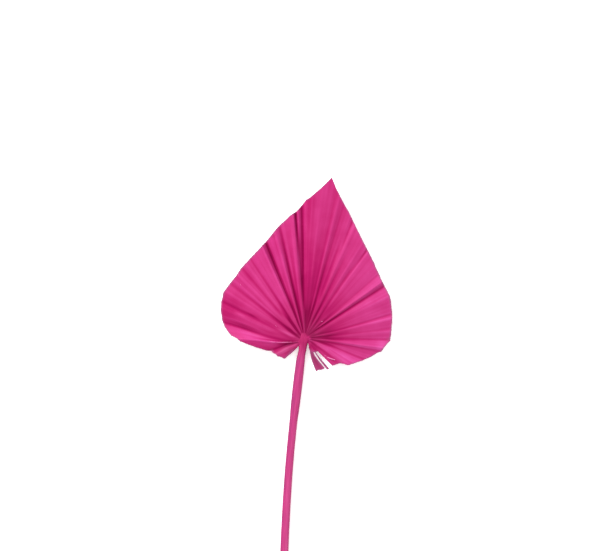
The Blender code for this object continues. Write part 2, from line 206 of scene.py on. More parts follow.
# The creases: angle at the rim, and height in mm over the blade's mean surface at the rim and at
# 0.7, 0.4 and 0.15 of the way out, each as it would be at FOLD_REACH.
CREASES = [
    (-144.8, -1.5, -1.5, -1.2, -1.0), (-128.0, 1.4, 1.4, 1.7, 1.1), (-117.3, -2.1, -2.1, -2.5, -2.0),
    (-111.0, -0.5, -0.5, -1.1, -0.8), (-99.2, 2.2, 2.3, 2.9, 3.2), (-96.8, 2.8, 3.0, 2.9, 1.9),
    (-93.0, 1.4, 1.3, 0.4, -0.5), (-84.8, -1.6, -2.6, -1.0, -0.3), (-80.5, -0.4, 0.2, -0.3, 0.3),
    (-75.6, 0.7, 0.8, 0.4, 0.2), (-71.3, -0.9, -0.75, -0.05, 0.8), (-68.6, -0.2, -0.1, 0.0, 0.9),
    (-64.5, 0.4, 0.4, 0.4, 0.3), (-58.6, -0.3, -0.5, -0.8, -1.4), (-55.9, 0.2, 0.2, 0.1, -0.6),
    (-51.5, 0.6, 0.6, 0.7, 0.1), (-46.6, -0.7, -0.7, -0.75, 0.8), (-43.0, 0.0, -0.2, -1.0, -1.4),
    (-39.0, -0.7, -0.8, -1.6, -1.2), (-35.5, 0.3, 0.3, 0.2, 0.9), (-29.1, 1.2, 1.2, 1.3, 0.9),
    (-26.3, -2.6, -3.1, -1.9, -0.9), (-23.4, -1.0, -1.4, -1.2, -0.3), (-19.9, 0.4, 0.6, 0.8, 1.2),
    (-16.8, -0.7, -1.9, -2.4, -2.0), (-13.5, -0.1, -0.9, -1.3, -1.5), (-10.7, 0.3, 0.6, 0.7, 0.2),
    (-9.4, 0.6, 0.5, 0.3, 0.9), (-8.3, -1.6, -0.7, -0.1, 1.1), (-7.1, -0.5, -1.7, -1.8, 0.9),
    (-5.4, -1.6, -2.6, -2.9, 0.3), (-3.7, -0.3, -0.6, -1.8, -0.4), (-1.0, 0.2, 0.0, -0.9, -1.4),
    (2.5, 0.2, 0.2, -0.5, -1.8), (8.0, -0.2, -0.3, -1.1, -2.2), (9.8, -0.1, 0.0, -0.6, -2.0),
    (12.3, -0.5, -0.8, -1.8, -2.6), (16.5, -0.35, -0.8, -1.0, 0.2), (18.4, -0.9, -0.2, -0.1, 0.0),
    (20.0, -0.1, 0.25, 0.6, -0.4), (22.7, 0.2, -0.1, -0.3, -1.0), (27.5, 0.4, 0.4, 0.3, 1.0),
    (30.6, 0.1, -0.3, -0.1, 0.5), (31.6, -0.4, -0.1, -0.1, -0.1), (32.8, 0.0, 0.2, 0.2, -0.1),
    (40.3, 0.0, 0.0, -0.1, 0.7), (45.8, -0.4, -0.4, -0.2, -0.3), (50.6, 0.7, 0.8, 0.5, 0.1),
    (53.5, -0.95, -1.1, -1.25, -1.4), (57.0, -0.2, 0.1, 0.1, 0.4), (60.0, 0.4, 0.4, 0.3, 0.6),
    (69.8, -0.45, -0.35, -0.1, -0.1), (71.3, -0.8, -0.6, -0.3, -0.1), (73.8, 0.1, 0.0, 0.0, 0.5),
    (79.8, -0.6, -0.4, -0.8, -1.2), (82.0, -0.35, -0.4, -0.8, -1.3), (87.3, -1.3, -1.2, -1.3, -1.0),
    (93.6, 0.65, 0.9, 0.6, 0.5), (97.0, -0.9, -0.9, -0.8, -0.9), (105.9, -1.7, -1.7, -2.0, -1.6),
    (117.0, 2.2, 2.2, 1.9, 1.2), (124.0, 0.8, 0.9, 0.8, -0.3), (130.7, 0.2, 0.4, 0.4, 0.4),
    (136.3, -0.4, -0.4, -0.4, -0.4), (138.2, 0.7, 0.7, 0.7, 0.7), (140.4, -0.2, -0.2, -0.2, -0.2),
    (146.0, -0.5, -0.5, -0.5, -0.5), (154.8, 1.3, 1.3, 1.3, 1.3),
]
CREASE_SHARES = (0.15, 0.4, 0.7, 1.0)  # where their four heights hold, the last height first
FOLD_REACH = 0.060  # from where the ribs start
FOLD_GROWTH = 0.74  # the folds deepen on the way out as this power of the distance
CREASE_ROUNDING = 0.0003  # a crease is rounded over this much to each side
MOST_ROUNDING = 0.5  # degrees
LONG_SWAY = 0.06  # how much of its height a crease gains and loses along its length
LONG_SWAY_RATE = 7.0  # and how fast, in radians from its root to the rim
SHORT_SWAY = 0.04
SHORT_SWAY_RATE = 17.0
# How far the creases bow towards the stalk's cut end, by angle.
BOWS = [
    (-144.8, 0.0010), (-131.0, 0.0), (-118.0, -0.0011), (-108.0, 0.0), (-97.3, 0.0009), (-86.0, 0.0031),
    (-76.0, 0.0012), (-65.0, 0.0), (30.0, 0.0), (45.0, -0.0003), (53.5, -0.0006), (60.0, -0.0002),
    (71.0, 0.0007), (80.0, 0.0004), (90.0, 0.0), (97.2, -0.0005), (107.0, -0.0014), (118.0, -0.0016),
    (130.7, 0.0),
]
BOW_PEAK = 6.75  # share * (1 - share) ** 2 peaks at 1 with this
# How far the torn segments bow towards the stalk, by angle.
LEANS = [
    (131.3, 0.0), (136.6, 0.0010), (139.8, 0.0010), (140.6, 0.0020), (147.0, 0.0014), (154.8, 0.0012),
]
LEAN_PEAK = 16  # share ** 2 * (1 - share) ** 2 peaks at 1 with this
TORN_RUN = 0.030
HANG = 0.0036  # how far their ends hang below the blade
HANG_START = 0.012  # the hanging starts this far from the knuckle, and is full at HANG_END
HANG_END = 0.030
LEFT_SINK = 0.0036  # how far the blade's sides sink at SIDE_REACH
RIGHT_SINK = 0.0028
SIDE_REACH = 0.060
TIP_LIFT = 0.0035
# How far the ribs climb onto the knuckle, by angle.
KNUCKLE_RISES = [
    (-144.8, -0.0002), (-95.0, -0.0001), (-75.0, 0.0003), (-55.0, 0.0007), (75.0, 0.0007),
    (95.0, 0.0004), (115.0, 0.0001), (154.8, 0.0),
]
KNUCKLE_RISE_RUN = 0.0028  # and how far out along them that reaches
# The swellings that the side lobes' ribs spring from: place, reach and height.
SWELLINGS = [(0.0050, -0.0015, 0.0021, 0.0012), (-0.0044, -0.0042, 0.0022, 0.0004)]
# How pale the blade is painted along a ray, from its root to the rim: deeper towards the knuckle,
# partly from the dye and partly as painted shade where the folds crowd together.
PALER_OUT = [(0.0, -0.42), (0.12, -0.30), (0.2, -0.20), (0.35, -0.05), (0.5, 0.08), (0.65, 0.16),
             (0.8, 0.22), (1.0, 0.24)]
# The same round the blade: angle, and at 0.15, 0.45 and 0.85 of the way out. Partly differences in the
# dye, partly painted light and shade: paler on parts turned from the lamp, deeper along some deep
# folds.
PALER_ROUND = [
    (-144.8, 0.13, -0.35, 0.0), (-125.0, 0.10, -0.22, -0.28), (-108.0, 0.18, 0.20, -0.10),
    (-94.0, 0.22, 0.20, -0.02), (-75.0, 0.18, 0.03, -0.20), (-60.0, 0.04, 0.12, -0.04),
    (-40.0, 0.04, 0.20, 0.03), (-25.0, 0.06, 0.21, 0.06), (-15.0, 0.14, 0.13, 0.01),
    (-4.6, 0.08, 0.0, -0.06), (-3.5, 0.06, -0.15, -0.16), (-1.0, 0.06, -0.15, -0.10),
    (2.0, 0.06, -0.04, 0.04), (10.0, 0.02, 0.0, -0.04), (20.0, -0.01, 0.05, 0.01),
    (35.0, -0.04, 0.10, 0.10), (50.0, -0.04, 0.14, 0.14), (75.0, -0.09, 0.05, 0.13),
    (90.0, -0.05, 0.10, 0.12), (100.0, 0.04, 0.15, 0.08), (112.0, 0.08, 0.30, 0.24),
    (122.0, 0.07, 0.0, -0.06), (130.0, 0.07, 0.0, -0.06), (154.8, 0.06, 0.06, 0.06),
]
PALER_SHARES = (0.15, 0.45, 0.85)  # where those three hold
CREST_SPAN = 0.0014  # a crest is measured against what is this far to each side
MOST_CREST_SPAN = 9  # degrees
# Near the knuckle the folds get painted shade and the ridges a painted highlight, by how far they stand
# out.
RIDGE_LIGHT_AND_SHADE = 0.5  # near the knuckle the ridges are paler than the folds
RIDGE_GAIN = 2000  # per metre that they stand out
RIDGE_RUN = 0.020
RUBBED = 0.15  # and rubbed dusty
RUBBED_GAIN = 2200
RUBBED_RUN = 0.028
UNCUT_RUN = 0.008  # nearer the knuckle than this the fan's two ends have no cut edge
UNCUT_EDGE = 0.4
# Places painted paler, deeper or dustier: ray, run and half sizes across and along it in mm, how much
# paler, and how dusty. Some are real spots, flecks and torn bits in the dye; others are painted shade
# in the deep folds and the gaps by the knuckle, and painted highlights on swellings that face the lamp.
MARKS = [
    (4.0, 14.0, 4.5, 9.0, -0.20, 0.0), (95.0, 1.6, 2.2, 2.6, 0.60, 0.0),
    (-54.0, 4.0, 1.1, 1.6, -0.35, 0.0), (57.0, 5.5, 1.2, 2.2, -0.35, 0.0),
    (84.0, 9.5, 1.1, 6.5, -0.22, 0.0), (-70.5, 11.0, 0.7, 9.0, 0.25, 0.1),
    (-127.0, 14.0, 1.8, 8.0, 0.10, 0.3), (-125.0, 2.5, 2.4, 3.0, 0.05, 0.1),
    (-26.6, 70.0, 1.5, 26.0, -0.20, 0.0), (-17.2, 60.0, 1.2, 20.0, -0.16, 0.0),
    (-8.4, 80.0, 1.0, 14.0, -0.15, 0.0), (-135.0, 17.0, 1.5, 4.0, 0.15, 0.0),
    (96.0, 42.0, 2.0, 10.0, 0.12, 0.0), (53.0, 34.0, 1.2, 14.0, 0.08, 0.0),
    (58.0, 48.0, 3.0, 12.0, -0.06, 0.0), (65.0, 68.0, 3.0, 8.0, -0.10, 0.0),
    (148.5, 7.0, 1.0, 6.0, -0.30, 0.0), (-77.0, 52.0, 5.0, 7.0, 0.08, 0.0),
    (124.0, 18.0, 2.5, 9.0, 0.07, 0.0), (50.0, 8.0, 12.0, 9.0, 0.0, 0.05),
    (-134.0, 24.5, 6.0, 1.6, -0.10, 0.35), (-82.0, 42.0, 1.3, 12.0, -0.28, 0.0),
    (-107.0, 11.0, 1.5, 5.0, -0.25, 0.0), (-88.0, 42.0, 6.0, 14.0, 0.22, 0.0),
    (-70.2, 43.7, 0.7, 4.5, -0.35, 0.0), (-74.3, 52.0, 0.8, 4.0, 0.20, 0.0),
    (87.5, 65.5, 1.6, 1.5, -0.20, 0.8), (91.5, 60.0, 5.0, 5.0, 0.15, 0.0),
    (121.0, 31.5, 1.2, 1.0, -0.10, 0.6), (-119.7, 23.0, 1.5, 1.0, -0.15, 0.5),
    (-21.7, 85.0, 1.8, 1.5, -0.30, 0.3),
]
MARK_TURN = 60  # degrees: a mark isn't repeated across the knuckle
STATION_STEP = 0.34  # degrees between the blade's finest divisions
LEAST_STEP = 0.3  # degrees between a crease and a corner that both get a division
RINGS = 46
CROWDING = 0.3  # how far the rings are drawn together towards the knuckle
RIM_STRIP = 0.0005  # the last ring but one is this far inside the rim
LEAST_RUN = 0.001  # nearer the knuckle than this a width gives no larger angle
NIBBLES = [(4.0, 0.00012), (1.3, 0.00010)]  # the rim's unevenness: every so many degrees, how much
RIM_GRAIN = 0.00006
BLADE_SEED = 3
EXTRUDED = 0.01  # the underside is made this far down, and then brought up to the sheet's thickness
GRAIN_ALONG = 0.02  # the grain changes this much in 1 mm along, against 1 mm or degree across


def between(table, at, column=1):
    """The values at these places in a table, straight between its rows."""
    return np.interp(at, [row[0] for row in table], [row[column] for row in table])


def rim_reach(rim, angles):
    """How far the rim is at these angles, along the straight cut between its two nearest corners."""
    corners = np.array(rim)
    after = np.clip(np.searchsorted(corners[:, 0], angles, "right"), 1, len(rim) - 1)
    low, low_reach = corners[after - 1].T
    high, high_reach = corners[after].T
    to_high = np.sin(np.radians(high - angles)) / low_reach
    to_low = np.sin(np.radians(angles - low)) / high_reach
    return np.sin(np.radians(high - low)) / (to_high + to_low)


def stations(rim, step):
    """The fan's divisions: every crease and corner, with finer ones between them."""
    creases = {row[0] for row in CREASES if rim[0][0] < row[0] < rim[-1][0]}
    marks = sorted({row[0] for row in rim} | creases)
    kept = [marks[0]]
    for mark in marks[1:]:
        if mark - kept[-1] < LEAST_STEP and mark != marks[-1]:
            continue
        pieces = math.ceil((mark - kept[-1]) / step)
        kept += list(np.linspace(kept[-1], mark, pieces + 1)[1:])
    return np.array(kept)


def crease_heights(angles, out, run):
    """The folds' heights. Each crease is rounded, and rises and dips a little along its length."""
    random = np.random.default_rng(BLADE_SEED)
    places = np.array([row[0] for row in CREASES])
    heights = np.array([row[:0:-1] for row in CREASES]) / 1000
    sway = random.uniform(0, 2 * math.pi, (2, len(CREASES)))
    folds = np.empty(run.shape)
    for ring, share in enumerate(out.mean(axis=0)):
        here = np.array([np.interp(share, CREASE_SHARES, row) for row in heights])
        here *= (1 + LONG_SWAY * np.sin(LONG_SWAY_RATE * share + sway[0])
                 + SHORT_SWAY * np.sin(SHORT_SWAY_RATE * share + sway[1]))
        rounding = np.degrees(CREASE_ROUNDING / np.maximum(run[:, ring], LEAST_RUN))
        rounding = np.clip(rounding, 0.0, MOST_ROUNDING)
        folds[:, ring] = sum(weight * np.interp(angles + turn * rounding, places, here)
                             for turn, weight in ((-1, 0.25), (0, 0.5), (1, 0.25)))
    return folds * (run / FOLD_REACH) ** FOLD_GROWTH


def ray_ends(rim, angles):
    """Where the rays start, where they meet the rim, and how long they are."""
    turn = np.radians(angles)
    root = np.stack([between(ROOTS, angles, 1), between(ROOTS, angles, 2)], 1)
    end = np.stack([np.sin(turn), np.cos(turn)], 1) * rim_reach(rim, angles)[:, None]
    return root, end, np.linalg.norm(end - root, axis=1)


def sheet_shape(rim, angles, out):
    """The upper face at these shares of the way out along each ray: places, run and fold heights."""
    root, end, length = ray_ends(rim, angles)
    run = length[:, None] * out
    level = root[:, None] + (end - root)[:, None] * out[:, :, None]
    level[:, :, 1] -= between(BOWS, angles)[:, None] * BOW_PEAK * out * (1 - np.minimum(out, 1)) ** 2
    along = np.clip(run / TORN_RUN, 0, 1)
    level[:, :, 0] -= between(LEANS, angles)[:, None] * LEAN_PEAK * along ** 2 * (1 - along) ** 2
    sink = np.where(level[:, :, 0] < 0, LEFT_SINK, RIGHT_SINK)
    height = ROOT_HEIGHT - sink * (level[:, :, 0] / SIDE_REACH) ** 2
    height += TIP_LIFT * (np.maximum(level[:, :, 1], 0) / TIP_REACH) ** 2
    height += between(KNUCKLE_RISES, angles)[:, None] * np.exp(-(run / KNUCKLE_RISE_RUN) ** 2)
    for x, y, reach, rise in SWELLINGS:
        height += rise * np.exp(-((level[:, :, 0] - x) ** 2 + (level[:, :, 1] - y) ** 2) / reach ** 2)
    hang = np.clip((np.linalg.norm(level, axis=2) - HANG_START) / (HANG_END - HANG_START), 0, 1)
    height -= np.where(angles[:, None] > LEANS[0][0], HANG * hang * hang * (3 - 2 * hang), 0)
    folds = crease_heights(angles, out, run)
    return np.dstack([level, height + folds]) + np.array(KNUCKLE), run, folds


def ragged_rim(angles):
    """How far past its straight cuts the rim is at these angles."""
    random = np.random.default_rng(BLADE_SEED)
    ragged = 0
    for every, much in NIBBLES:
        places = np.arange(-150, 160, every)
        ragged = ragged + much * np.interp(angles, places, random.normal(0, 1, len(places)))
    return random.normal(0, RIM_GRAIN, len(angles)) + ragged


def crest_heights(angles, run, folds):
    """How far the folds stand over what is to each side of them."""
    crest = np.empty(run.shape)
    for ring in range(run.shape[1]):
        aside = np.degrees(CREST_SPAN / np.maximum(run[:, ring], LEAST_RUN))
        aside = np.clip(aside, 0, MOST_CREST_SPAN)
        near = [np.interp(angles + by * aside, angles, folds[:, ring]) for by in (-1, 1)]
        crest[:, ring] = folds[:, ring] - (near[0] + near[1]) / 2
    return crest


def dye_values(angles, out, run, folds, length, dusty, painted_shade):
    """What the material reads: where a place is, in degrees and mm, and how pale, deep and dusty it is
    painted there, painted light and shade included.
    """
    crest = crest_heights(angles, run, folds)
    columns = np.stack([between(PALER_ROUND, angles, n) for n in (1, 2, 3)], 1)
    columns = np.repeat(columns, out.shape[1], 0)
    around = [np.interp(share, PALER_SHARES, column) for share, column in zip(out.ravel(), columns)]
    around = np.array(around).reshape(out.shape)
    ridge = RIDGE_LIGHT_AND_SHADE * np.clip(RIDGE_GAIN * crest, -0.3, 0.5) * np.exp(-(run / RIDGE_RUN) ** 2)
    rubbed = RUBBED * np.exp(-(run / RUBBED_RUN) ** 2) * np.clip(0.5 + RUBBED_GAIN * crest, 0.05, 1)
    from_ends = np.minimum(angles[:, None] - angles[0], angles[-1] - angles[:, None])
    side = run * np.sin(np.radians(np.clip(from_ends, 0, 90)))
    side += np.clip(UNCUT_RUN - run, 0, 1) * UNCUT_EDGE
    values = {
        "ray": np.repeat(angles[:, None], out.shape[1], 1),
        "run": run * 1000,
        "from_rim": np.minimum(length[:, None] - run, side) * 1000,
        "crest": np.clip(crest * 1000, -1, 1),
        "paler": between(PALER_OUT, out) - painted_shade + around + ridge,
        "dusty": dusty + rubbed,
    }
    for ray_at, run_at, wide, long, paler, dust in MARKS:
        aside = np.sin(np.radians(angles - ray_at))[:, None] * run * 1000
        here = np.exp(-(aside / wide) ** 2 - ((run * 1000 - run_at) / long) ** 2)
        here[np.abs(angles - ray_at) > MARK_TURN] = 0
        values["paler"] += paler * here
        values["dusty"] += dust * here
    return values


def corner_rows(mesh, what="co"):
    """The places of a mesh's corners, or their normals, one row each."""
    values = np.empty(len(mesh.vertices) * 3)
    mesh.vertices.foreach_get(what, values)
    return values.reshape(-1, 3)


def move_corners(mesh, places):
    """Moves a mesh's corners to these places."""
    mesh.vertices.foreach_set("co", places.ravel())
    mesh.update()


def write_values(mesh, name, values):
    """Gives each corner of a mesh its value under this name, for materials to read."""
    layer = mesh.attributes.new(name, "FLOAT", "POINT")
    layer.data.foreach_set("value", values.astype(np.float32))


def smooth(made, degrees):
    """Shades an object smooth, but for edges that turn more than this."""
    deselect()
    made.select_set(True)
    bpy.ops.object.shade_smooth_by_angle(angle=math.radians(degrees))
    deselect()


def thicken(made):
    """Gives a sheet an underside, its thickness below the upper face, measured square to it."""
    sheet = made.data
    upright = np.abs(corner_rows(sheet, "normal")[:, 2])
    write_values(sheet, "depth", SHEET_THICKNESS / np.maximum(upright, STEEPEST))
    bpy.ops.object.mode_set(mode="EDIT")
    bpy.ops.mesh.select_all(action="SELECT")
    bpy.ops.mesh.extrude_region_move(TRANSFORM_OT_translate={"value": (0, 0, -EXTRUDED)})
    bpy.ops.object.mode_set(mode="OBJECT")
    under = np.array([corner.select for corner in sheet.vertices])
    depth = np.empty(len(sheet.vertices), np.float32)
    sheet.attributes["depth"].data.foreach_get("value", depth)
    places = corner_rows(sheet)
    places[under, 2] += EXTRUDED - depth[under]
    sheet.attributes.remove(sheet.attributes["depth"])
    move_corners(sheet, places)
    bpy.ops.object.mode_set(mode="EDIT")
    bpy.ops.mesh.select_all(action="SELECT")
    bpy.ops.mesh.normals_make_consistent(inside=False)
    bpy.ops.object.mode_set(mode="OBJECT")


def fan(name, rim, step, start=0.0, drop=0.0, dusty=0.0, painted_shade=0.0):
    """A pleated sheet that fans out from the knuckle, thickened downwards."""
    angles = stations(rim, step)
    length = ray_ends(rim, angles)[2]
    part_way = np.linspace(0, 1, RINGS)
    shares = np.append((1 - CROWDING) * part_way + CROWDING * part_way ** 2, 1.0)
    first = (start / length)[:, None]
    out = first + (1 - RIM_STRIP / length[:, None] - first) * shares
    out[:, -1] = 1 + ragged_rim(angles) / length
    top, run, folds = sheet_shape(rim, angles, out)
    top[:, :, 2] -= drop

    deselect()
    bpy.ops.mesh.primitive_grid_add(x_subdivisions=len(angles) - 1, y_subdivisions=RINGS, size=2)
    made = bpy.context.object
    made.name = made.data.name = name
    share = (corner_rows(made.data) + 1) / 2
    column = np.rint(share[:, 0] * (len(angles) - 1)).astype(int)
    row = np.rint(share[:, 1] * RINGS).astype(int)
    move_corners(made.data, top[column, row])
    for key_name, value in dye_values(angles, out, run, folds, length, dusty, painted_shade).items():
        write_values(made.data, key_name, value[column, row])
    thicken(made)
    smooth(made, degrees=50)
    return made


def attribute(tree, name):
    """The value that the mesh holds under this name."""
    return node(tree, "Attribute", attribute_name=name).outputs["Fac"]


def maths(tree, operation, *values):
    """An operation on values. MULTIPLY_ADD is the first times the second, plus the third."""
    return node(tree, "Math", dict(enumerate(values)), operation=operation).outputs[0]


def remap(tree, value, old, new=(0.0, 1.0), **settings):
    """A value between old's two ends, moved to the same share of the way between new's."""
    return node(tree, "MapRange", {
        "Value": value, "From Min": old[0], "From Max": old[1], "To Min": new[0], "To Max": new[1],
    }, **settings).outputs[0]


def mixed(tree, share, first, second):
    """Two colours mixed, with this share of the second."""
    return node(tree, "Mix", {0: share, 6: first, 7: second}, data_type="RGBA").outputs[2]


# Dried palm leaf soaked in fuchsia dye: matte, with long streaks where the dye ran along the
# veins, and an edge greyed by the scissors. The folds and the blade near the knuckle are deeper in
# colour, partly from the dye and partly as painted shade; the crests are paler, as a painted
# highlight. The veins are drawn about 1 mm apart at the rim.
dyed_blade, tree = new_material("dyed_palm_blade")
along_ray = node(tree, "CombineXYZ", {
    "X": attribute(tree, "ray"),
    "Y": maths(tree, "MULTIPLY", attribute(tree, "run"), GRAIN_ALONG)}).outputs[0]
streaks = patches(tree, along_ray, scale=0.55, detail=4.0)
veins = patches(tree, along_ray, scale=1.6, detail=3.0)
clouds = patches(tree, node(tree, "TexCoord").outputs["Object"], scale=70.0, detail=3.0)
dye = maths(tree, "MULTIPLY_ADD", streaks, 0.30, attribute(tree, "paler"))
dye = maths(tree, "MULTIPLY_ADD", clouds, 0.24, dye)
# Painted shade in the folds and a painted highlight on the crests, by how far each place stands over
# its sides.
fold_shade_and_crest_light = remap(tree, attribute(tree, "crest"), (-0.7, 0.12), (-0.32, 0.20))
dye = maths(tree, "ADD", dye, fold_shade_and_crest_light)
colour = ramp(tree, maths(tree, "MULTIPLY", dye, 0.8), [
    (0.0, "720537"), (0.2, "870E46"), (0.4, "981854"), (0.6, "A9276A"), (0.8, "B94087"),
    (1.0, "C55494")])
dulled = mixed(tree, attribute(tree, "dusty"), colour, linear("9C456E"))
waxy = remap(tree, dye, (0.4, 1.0), (0.0, 0.25))
cut = remap(tree, attribute(tree, "from_rim"), (1.7, 0.3))
edged = mixed(tree, maths(tree, "MULTIPLY", cut, 0.85), dulled, linear("8B4269"))
finish_material(tree, {
    "Base Color": edged, "Roughness": 0.5, "Specular IOR Level": waxy,
    "Normal": bump(tree, veins, strength=0.20, distance=0.0003)})

blade = fan("blade", RIM, STATION_STEP)
blade.data.materials.append(dyed_blade)
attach(blade, "root")
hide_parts("dyed_leaf")

# The torn end segments
# The last segment beside the stalk, and a narrow strip next to it, split off the blade as it
# dried. Both hang free from the knuckle.

STRIP_RIM = [(136.6, 0.0331), (139.8, 0.0325)]
TAIL_RIM = [(140.6, 0.0312), (146.0, 0.0308), (151.0, 0.0295), (154.8, 0.0301)]
TORN_STEP = 0.3  # degrees between their finest divisions
TORN_DROP = 0.0001  # how far they lie below the blade where they meet it

# The torn pieces hang below the blade: they are painted deeper, as painted shade, and dustier.
for name, rim, start, dusty, painted_shade in (("torn_strip", STRIP_RIM, 0.009, 0.7, 0.9),
                                        ("torn_tail", TAIL_RIM, 0.005, 0.40, 0.25)):
    piece = fan(name, rim, TORN_STEP, start, TORN_DROP, dusty, painted_shade)
    piece.data.materials.append(dyed_blade)
    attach(piece, "root")
    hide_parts("dyed_leaf")

# Split fibres
# Pale fibres that have split from the blade: a long one along a crest, a torn sliver, flecks, and
# short frayed ends along the rim and at the torn segments. They are 0.1 to 1 mm thick.

LONG_FIBRES = [  # half thickness in mm, and ray, run and lift in mm along it
    (0.20, [(-98.6, 6.2, 0.02), (-98.5, 8.5, 0.14), (-98.6, 11.5, 0.10), (-98.8, 14.5, 0.12),
            (-99.0, 17.0, 0.02)]),
    (0.15, [(-98.9, 16.2, 0.03), (-98.9, 19.0, 0.10), (-97.8, 21.8, 0.08), (-96.0, 24.4, 0.0)]),
    (0.48, [(127.0, 20.0, 0.05), (125.6, 22.0, 0.50), (123.7, 24.6, 0.55), (122.0, 26.8, 0.15)]),
    (0.26, [(127.6, 17.6, 0.0), (127.2, 18.6, 0.25), (126.9, 19.3, 0.0)]),
    (0.20, [(42.6, 17.4, 0.05), (43.0, 18.0, 0.16), (43.3, 18.7, 0.05)]),
    (0.20, [(-51.4, 70.6, 0.05), (-51.2, 71.4, 0.16), (-50.9, 72.0, 0.06)]),
    (0.16, [(-55.3, 64.0, 0.04), (-55.1, 64.6, 0.14), (-54.9, 65.2, 0.04)]),
    (0.16, [(-67.8, 21.8, 0.04), (-67.5, 22.4, 0.14), (-67.2, 23.0, 0.04)]),
]
# Where the edge has frayed: rim, ray, and how many fibres stick out there.
FRAYED = [
    (RIM, -119.7, 4), (RIM, -133.0, 2), (RIM, -99.0, 2), (RIM, -62.0, 2), (RIM, -23.3, 3),
    (RIM, -3.6, 3), (RIM, 12.0, 2), (RIM, 30.0, 2), (RIM, 47.0, 2), (RIM, 60.3, 2), (RIM, 78.0, 2),
    (RIM, 87.3, 3), (RIM, 96.4, 3), (RIM, 108.0, 2), (RIM, 121.0, 3), (RIM, 126.0, 2),
    (RIM, 133.0, 3), (RIM, 140.0, 3), (STRIP_RIM, 138.2, 3), (TAIL_RIM, 143.0, 3),
    (TAIL_RIM, 150.0, 3), (TAIL_RIM, 154.0, 2),
]
FRAY_SPREAD = 0.7  # degrees to each side of the ray
FRAY_STRAY = 0.5  # how far their direction strays from the ray's
FRAY_HALF_THICKNESS = 0.00007
FRAY_INSIDE = 0.5  # they start this many mm inside the rim
FRAY_PAST = 0.1  # and leave the sheet this many mm past its straight cuts
FRAY_LIFT = -0.2  # in the middle of its thickness, in mm from the upper face
SHORTEST_FRAY = 0.0002
LONGEST_FRAY = 0.0008
FRAY_SEED = 11
FIBRE_END = 0.35  # a fibre's thickness at its ends, as a share of its middle's


def on_blade(ray_at, run_at, lift, rim=RIM):
    """A place this many mm above the blade's upper face."""
    length = ray_ends(rim, np.array([ray_at]))[2][0]
    top = sheet_shape(rim, np.array([ray_at]), np.array([[run_at / 1000 / length]]))[0][0, 0]
    return Vector(top) + Vector((0, 0, lift / 1000))


def fibre(points, half_thickness):
    """A fibre through these points, as a tapering tube."""
    deselect()
    bpy.ops.curve.primitive_bezier_curve_add()
    made = bpy.context.object
    curve = made.data
    curve.splines.clear()
    line = curve.splines.new("NURBS")
    line.points.add(len(points) - 1)
    for n, (point, place) in enumerate(zip(line.points, points)):
        point.co = (*place, 1)
        point.radius = FIBRE_END + (1 - FIBRE_END) * math.sin(math.pi * (n + 0.5) / len(points))
    line.order_u = 3
    line.use_endpoint_u = True
    curve.bevel_depth = half_thickness
    curve.bevel_resolution = 1
    curve.resolution_u = 6
    curve.use_fill_caps = True
    bpy.ops.object.convert(target="MESH")
    return made


def joined(name, pieces):
    """The pieces as one object with this name."""
    deselect()
    for piece in pieces:
        piece.select_set(True)
    bpy.context.view_layer.objects.active = pieces[0]
    bpy.ops.object.join()
    pieces[0].name = pieces[0].data.name = name
    smooth(pieces[0], degrees=60)
    return pieces[0]


# The inside of the leaf, where the dye soaked in less: pale pink, matte and fibrous.
pale_fibre, tree = new_material("pale_split_fibre")
soaked = patches(tree, node(tree, "TexCoord").outputs["Object"], scale=900.0, detail=2.0)
finish_material(tree, {
    "Base Color": ramp(tree, soaked, [(0.3, "BE4383"), (0.65, "D87FAE")]), "Roughness": 0.7,
    "Specular IOR Level": 0.1})

pieces = [fibre([on_blade(*place) for place in path], half_thickness / 1000)
          for half_thickness, path in LONG_FIBRES]
fray = np.random.default_rng(FRAY_SEED)
for rim, ray_at, many in FRAYED:
    for ray_here in ray_at + fray.uniform(-FRAY_SPREAD, FRAY_SPREAD, many):
        reach = ray_ends(rim, np.array([ray_here]))[2][0] * 1000
        inside = on_blade(ray_here, reach - FRAY_INSIDE, FRAY_LIFT, rim)
        edge = on_blade(ray_here, reach + FRAY_PAST, FRAY_LIFT, rim)
        way = (edge - inside).normalized() + Vector(fray.uniform(-FRAY_STRAY, FRAY_STRAY, 3))
        end = edge + way * fray.uniform(SHORTEST_FRAY, LONGEST_FRAY)
        pieces.append(fibre([inside, edge, end], FRAY_HALF_THICKNESS))
split = joined("split_fibres", pieces)
split.data.materials.append(pale_fibre)
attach(split, "root")
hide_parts("dyed_leaf")

# The stalk
# A solid, fibrous stalk, slightly flattened and bowed to one side. Its upper end swells into the
# knuckle that the ribs grow from. The dye stops before its cut end, which stays straw coloured.

STALK_LENGTH = 0.300
DYED_LENGTH = 0.188
STALK_HALF_WIDTH = 0.00325
STALK_HALF_HEIGHT = 0.0024
STALK_TOP_HEIGHT = 0.0057  # its middle's height at the knuckle
STALK_FALL = 0.8  # under 1, its middle comes down to the surface sooner
PACKED_SIDES = 12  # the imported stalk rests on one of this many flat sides
STALK_SLANT = -0.0467  # how far aside its middle goes, per metre
STALK_BOW = 0.2644  # and per metre squared
STALK_DRIFT = -0.0010  # how far it swings aside between these two places
DRIFT_START = 0.020
DRIFT_END = 0.115
# How far down it a place is, and how thick it is there, as a share of the two half sizes above.
STALK_SWELL = [
    (-0.0044, 0.80), (-0.0012, 0.84), (0.002, 0.93), (0.006, 1.02), (0.010, 0.98), (0.014, 0.96),
    (0.020, 1.10), (0.026, 1.13), (0.031, 1.18), (0.046, 1.17), (0.056, 1.12), (0.066, 1.0),
    (0.075, 0.98), (0.188, 1.0), (0.260, 1.06), (0.300, 1.10),
]
# Just below the knuckle it bends to the right: where, how far along it, and how much.
NECK_DOWN = 0.0098
NECK_REACH = 0.0048
NECK_BEND = 0.0006
